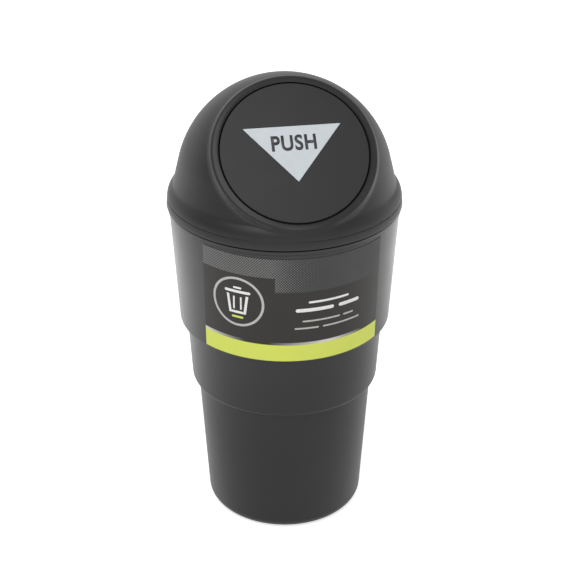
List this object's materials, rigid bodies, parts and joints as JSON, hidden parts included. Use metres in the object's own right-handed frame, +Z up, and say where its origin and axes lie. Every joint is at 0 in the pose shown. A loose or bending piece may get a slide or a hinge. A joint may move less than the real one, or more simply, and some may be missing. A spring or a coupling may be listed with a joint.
{
  "type": "car trash bin",
  "caption": "Small trash bin for a car cup holder: a stepped tapered cup with a domed lift-off lid and a round push flap that springs shut",
  "frame": {"origin": "centre of the base, on the surface that the bin stands on", "axes": "+Z up along the bin, -Y out of the front where the flap is, +X to the right seen from the front"},
  "size_m": [0.0806, 0.0806, 0.1629],
  "materials": {
    "bin_plastic": "satin charcoal",
    "label_film": "printed film",
    "lid_plastic": "satin charcoal",
    "flap_plastic": "fine matt charcoal",
    "steel": "bright drawn wire",
    "sticker": "silver film"
  },
  "bodies": {
    "bin": {"bin_body": "bin_plastic", "wrap_label": "label_film"},
    "lid": {"lid": "lid_plastic", "hinge_pin": "steel", "return_spring": "steel"},
    "flap": {"flap": "flap_plastic", "push_sticker": "sticker"}
  },
  "joints": [
    {"name": "lid_lift", "type": "slide", "parent": "bin", "child": "lid", "axis": [0, 0, 1], "range_m": [0, 0.06]},
    {"name": "flap_hinge", "type": "hinge", "parent": "lid", "child": "flap", "pos_m": [0, -0.00408, 0.15363], "axis": [1, 0, 0], "range_deg": [0, 62], "stiffness_Nm_per_rad": 0.004, "springref_deg": -28.65, "deforming": ["return_spring"]}
  ]
}
